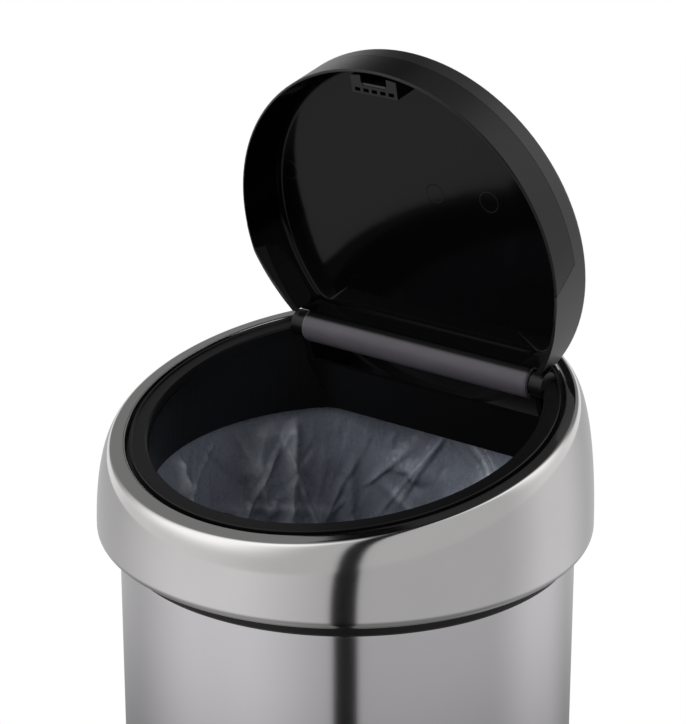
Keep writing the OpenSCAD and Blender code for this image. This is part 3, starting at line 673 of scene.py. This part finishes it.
def settle(piece):
    """Lets the film hang as cloth: the folded top is held, there is spare film, and the wall stops it."""
    held = piece.vertex_groups.new(name="held")
    for vertex in piece.data.vertices:
        r, h = math.hypot(vertex.co.x, vertex.co.y) / MM, vertex.co.z / MM
        if r > WALL_TOP + 0.2 or h > BAG_RIM - 1 or (h < BAG_FLOOR + 1 and r < 50):
            held.add([vertex.index], 1.0, "REPLACE")
    hung = piece.modifiers.new("hung", "CLOTH")
    film_set = hung.settings
    film_set.vertex_group_mass = "held"
    film_set.quality = 6
    film_set.mass = 0.05
    film_set.tension_stiffness = film_set.compression_stiffness = 25
    film_set.shear_stiffness = 12
    film_set.bending_stiffness = 0.35
    film_set.tension_damping = film_set.compression_damping = 12
    film_set.air_damping = 4
    film_set.shrink_min = -0.035
    hung.point_cache.frame_start = 1
    hung.point_cache.frame_end = SETTLE_FRAMES
    for n in range(1, SETTLE_FRAMES + 1):
        scene.frame_set(n)
    seen = piece.evaluated_get(bpy.context.evaluated_depsgraph_get()).to_mesh()
    places = np.array([v.co[:] for v in seen.vertices])
    piece.modifiers.remove(hung)
    scene.frame_set(1)
    h = np.maximum(places[:, 2], BAG_FLOOR * MM)
    r = np.hypot(places[:, 0], places[:, 1])
    stop = (wall_at((BAG_RIM - h / MM).clip(0, TAPER)) - 0.2) * MM
    inside = np.array([v.co[:] for v in piece.data.vertices])
    inside = np.hypot(inside[:, 0], inside[:, 1]) < (WALL_TOP + 0.2) * MM
    squeeze = np.where(inside & (r > stop), stop / np.maximum(r, 1e-6), 1.0)
    places[:, 0] *= squeeze
    places[:, 1] *= squeeze
    places[:, 2] = h
    piece.data.vertices.foreach_set("co", places.ravel())
    piece.data.update()


settle(bag)

finer = bag.modifiers.new("finer", "SUBSURF")
finer.levels = 1
bag.data = bpy.data.meshes.new_from_object(bag.evaluated_get(bpy.context.evaluated_depsgraph_get()))
bag.modifiers.remove(finer)

# Sharp creases are pressed into the film last, along the way it faces.
# The cuff outside the rim hangs in soft pleats.
count = len(bag.data.vertices)
places, facing = np.empty(count * 3), np.empty(count * 3)
bag.data.vertices.foreach_get("co", places)
bag.data.vertices.foreach_get("normal", facing)
places, facing = places.reshape(-1, 3) / MM, facing.reshape(-1, 3)
turn = (np.arctan2(places[:, 0], -places[:, 1]) % (2 * math.pi)) * WALL_TOP
fall = BAG_RIM - places[:, 2]
radius = np.hypot(places[:, 0], places[:, 1])
inside = (radius < WALL_TOP + 0.1) & (fall > 0)
cuff = (radius > WALL_TOP + 2) & (fall > -2)
sharp = creases(turn, fall, 71, 420, (7, 40), (1.1, 4.0), (0.4, 1.5), 0.9)
sharp += creases(turn, fall, 88, 70, (20, 80), (3, 9), (1.2, 3.2), 0.5)
sharp *= np.clip(fall / 5, 0, 1) * np.clip((195 - fall) / 20, 0, 1)
radial = np.stack([-places[:, 0], -places[:, 1], 0 * radius], 1) / np.maximum(radius, 1)[:, None]
inward = facing * np.sign((facing * radial).sum(1))[:, None]
places += inward * (np.clip(sharp, -0.4, None) * inside)[:, None]
pleats = 0.5 + waves(turn, fall) * 0.16
pleats = pleats + creases(turn, fall + 60, 61, 260, (10, 40), (1.5, 6), (0.2, 0.9), 0.3)
places += radial * (np.clip(pleats, -0.25, 1.5) * cuff * np.clip((fall + 2) / 9, 0, 1))[:, None]
places[:, 2] += cuff * np.clip(fall / 18, 0, 1) * waves(turn, 0 * fall) * 0.45
stop = wall_at(np.clip(BAG_RIM - places[:, 2], 0, TAPER)) - 0.15
radius = np.hypot(places[:, 0], places[:, 1])
squeeze = np.where(inside & (radius > stop), stop / np.maximum(radius, 1e-3), 1.0)
places[:, :2] *= squeeze[:, None]
places[:, 2] = np.maximum(places[:, 2], BAG_FLOOR)
bag.data.vertices.foreach_set("co", (places * MM).ravel())
bag.data.update()
# Painted highlight: the crest value lightens the film's colour along the crests of the creases and the
# cuff's pleats, standing in for the sheen they catch.
crest = bag.data.attributes.new("crest", "FLOAT", "POINT")
crest_inside = np.clip(sharp / 2.4, 0, 1) ** 2
crest_cuff = np.clip(pleats / 3, 0, 0.4) * cuff
crest.data.foreach_set("value", np.where(inside, crest_inside, crest_cuff))

film = Finish("blue_grey_film")
x, y, z = film.place()
turn = x.turn_to(y) * FILM_R
crinkle = film.noise(film.vector(turn, z * 0.5, 0.0), 0.14, 5.0, 0.62, 2.0)
# Painted shade: the film's colour goes from dark to light in long upright streaks, standing in for the shade
# of pleats.
pleat_shade_streaks = film.noise(film.vector(turn, z * 0.25, 3.0), 0.07, 3.0, 0.5, 8.0)
thin = film.noise(film.vector(turn, z, 0.0), 0.5, 2.0, 0.5, 4.0)
warp = (crinkle - 0.5) * 14.0
facets = film.node(
    "ShaderNodeTexVoronoi",
    {"feature": "F1"},
    {"Vector": film.vector(turn + warp, z * 0.55 + warp, 0.0), "Scale": 0.06, "Randomness": 1.0},
    "Distance",
)
# Painted highlight along fold crests, read from the crest attribute.
crest_sheen = film.node("ShaderNodeAttribute", {"attribute_name": "crest"}, {}, "Fac")
tint = film.blend(pleat_shade_streaks, (0.12, 0.131, 0.157), (0.26, 0.285, 0.345))
bag_film = film.surface(
    Base_Color=film.blend(crest_sheen * 0.9, tint, (0.46, 0.49, 0.54)),
    Roughness=0.22 + thin * 0.12,
    Specular_IOR_Level=0.6,
    Normal=film.relief(crinkle + facets * 0.9 + thin * 0.08, 0.9),
)
dress(bag, bag_film, "bucket")
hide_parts("bin_bag")


# -------------------------------------------------------------------- studio
# A pale table in a white tent, brighter at the left and right of the camera, with two soft lamps.
# The camera looks in through a narrow slot, from the table up and over: the dark stripe in the steel.
# Only reflections see the table's pattern of light. The camera sees it plain.

CAMERA_AZ = math.radians(37.393)
SLOT_SHIFT = 0.016
TABLE_HALF = 6
LAMP_AWAY = 1.5
LAMP_HEIGHT = 1.1
LAMP_WIDE = 1.2
LAMP_TALL = 1.4
LAMP_AIM = 230.0


def from_camera(x, y):
    """Splits a place or a direction into its parts towards the camera's side and to the right of it."""
    toward = x * math.sin(CAMERA_AZ) - y * math.cos(CAMERA_AZ)
    right = x * math.cos(CAMERA_AZ) + y * math.sin(CAMERA_AZ)
    return toward, right


def glow(finish, azimuth, middle, full, end):
    """1 around the azimuth middle, falling to 0. All are degrees, to the right of the camera."""
    return 1.0 - finish.step((azimuth - math.radians(middle)).size(), math.radians(full), math.radians(end))


table = bpy.data.meshes.new("table")
corners = [(-1, -1), (1, -1), (1, 1), (-1, 1)]
table.from_pydata([(x * TABLE_HALF, y * TABLE_HALF, 0) for x, y in corners], [], [(0, 1, 2, 3)])
table = bpy.data.objects.new("table", table)
scene.collection.objects.link(table)
cloth = Finish("pale_table")
x, y, z = cloth.place()
toward, right = from_camera(x, y)
away = (x * x + y * y).root()
azimuth = right.turn_to(toward)
slot = cloth.step((right / away + SLOT_SHIFT).size(), 0.078, 0.112)
slot = slot.most(1.0 - cloth.step(toward, 0.0, 60.0))
gleam = 0.53 + glow(cloth, azimuth, -62, 12, 62) * 0.28 + glow(cloth, azimuth, 104, 4, 36) * 0.24
gleam = gleam * (0.42 + cloth.step(away, 200.0, 470.0) * 0.58) * (0.02 + slot * 0.98)
far = cloth.step(away, 140.0, 230.0)
plain = cloth.node("ShaderNodeBsdfDiffuse", {}, {"Color": (0.62, 0.62, 0.62)}, "BSDF")
pale = cloth.node("ShaderNodeBsdfDiffuse", {}, {"Color": (0.82, 0.82, 0.82)}, "BSDF")
white = cloth.node("ShaderNodeEmission", {}, {"Color": (1.0, 1.0, 1.0), "Strength": 1.0}, "Emission")
gleam = cloth.vector(gleam, gleam * 0.99, gleam)
tent = cloth.node("ShaderNodeEmission", {}, {"Color": gleam, "Strength": 1.0}, "Emission")
seen = cloth.node("ShaderNodeLightPath", {}, {}, "Is Camera Ray")
mirrored = cloth.node("ShaderNodeLightPath", {}, {}, "Is Glossy Ray")
near_far = cloth.node("ShaderNodeMixShader", {}, {0: far, 1: pale, 2: white})
shown = cloth.node("ShaderNodeMixShader", {}, {0: mirrored, 1: plain, 2: tent})
whole = cloth.node("ShaderNodeMixShader", {}, {0: seen, 1: shown, 2: near_far})
table.data.materials.append(cloth.end(whole))
cloth.material.cycles.emission_sampling = "NONE"
table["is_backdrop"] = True


def soft_box(name, azimuth, power):
    """A large lamp aimed at the bin's top, at an azimuth in degrees to the right of the camera."""
    lamp = bpy.data.lights.new(name, "AREA")
    lamp.shape = "RECTANGLE"
    lamp.size, lamp.size_y = LAMP_WIDE, LAMP_TALL
    lamp.energy = power
    piece = bpy.data.objects.new(name, lamp)
    a = CAMERA_AZ + math.radians(azimuth)
    piece.location = (LAMP_AWAY * math.sin(a), -LAMP_AWAY * math.cos(a), LAMP_HEIGHT)
    to = Vector((0, 0, LAMP_AIM * MM)) - piece.location
    piece.rotation_mode = "QUATERNION"
    piece.rotation_quaternion = to.to_track_quat("-Z", "Y")
    piece.visible_glossy = False
    scene.collection.objects.link(piece)


soft_box("soft_box_left", -62, 18)
soft_box("soft_box_right", 70, 9)

world = bpy.data.worlds.new("studio")
scene.world = world
sky = Finish("studio", world)
way = sky.node("ShaderNodeTexCoord", {}, {}, "Generated")
apart = sky.node("ShaderNodeSeparateXYZ", {}, {"Vector": way}, "X").socket.node.outputs
x, y, z = (Field(sky, apart[k]) for k in ("X", "Y", "Z"))
toward, right = from_camera(x, y)
azimuth = right.turn_to(toward)
lifted = sky.step(z, 0.1, 0.6) * (1.0 - sky.step(z, 0.93, 0.99) * 0.6)
behind = sky.step(0.0 - toward, 0.0, 0.6) * sky.step(z, 0.2, 0.45)
tent = 0.57 - behind * 0.33 + glow(sky, azimuth, -86, 10, 66) * (0.22 + lifted * 0.6)
tent = tent + glow(sky, azimuth, 104, 4, 34) * (0.3 + lifted * 0.45)
tent = tent + sky.step(0.0 - toward, 0.3, 0.8) * (1.0 - sky.step(z, 0.15, 0.4)) * 0.42
tent = tent * (0.02 + sky.step((right + SLOT_SHIFT).size(), 0.062, 0.108) * 0.98)
seen = sky.node("ShaderNodeLightPath", {}, {}, "Is Camera Ray")
brightness = seen + (1.0 - seen) * tent
back = sky.node("ShaderNodeBackground", {}, {"Color": brightness, "Strength": 1.0}, "Background")
sky.end(back, "ShaderNodeOutputWorld")
scene.view_settings.view_transform = "Standard"


# -------------------------------------------------------------------- camera
# The camera stands in front of the bin and to its right, a little above the lid, as in the photograph.

CAMERA_AT = (0.5182, -0.6780, 0.58035)
CAMERA_TILT = math.radians(69.613)

lens = bpy.data.cameras.new("camera")
lens.lens = 136.41
lens.shift_x = -0.0061
lens.clip_start, lens.clip_end = 0.01, 50
camera = bpy.data.objects.new("camera", lens)
camera.location = CAMERA_AT
camera.rotation_euler = (CAMERA_TILT, 0, CAMERA_AZ)
scene.collection.objects.link(camera)
scene.camera = camera

low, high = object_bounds()
